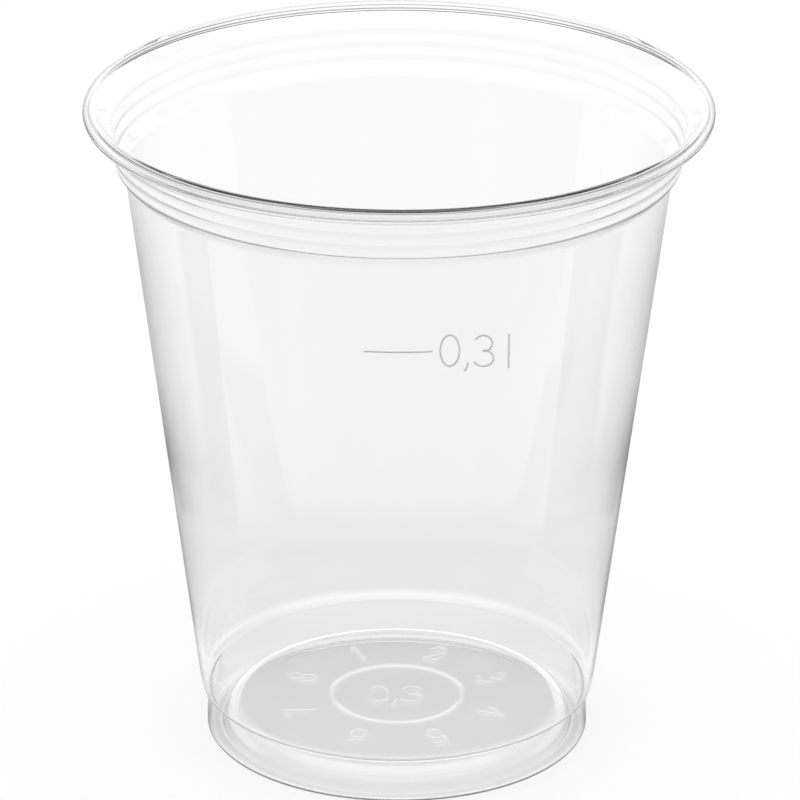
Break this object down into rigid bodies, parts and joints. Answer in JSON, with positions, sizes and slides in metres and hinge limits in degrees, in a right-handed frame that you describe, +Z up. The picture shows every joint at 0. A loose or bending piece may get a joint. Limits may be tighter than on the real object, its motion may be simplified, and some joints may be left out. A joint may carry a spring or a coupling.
{
  "type": "plastic disposable cup",
  "caption": "Clear one-piece disposable cup: tapered wall, rolled rim for a press-on lid, stacking ridges, stepped foot, raised base and a fill line.",
  "frame": {"origin": "middle of the ring that the cup stands on", "axes": "+Z up along the cup's axis; the fill line is on the front, towards -Y"},
  "size_m": [0.098, 0.098, 0.106],
  "materials": {
    "clear_plastic": "clear, glossy thin plastic, faintly grey at its edges"
  },
  "bodies": {
    "root": {"cup": "clear_plastic"}
  },
  "joints": []
}
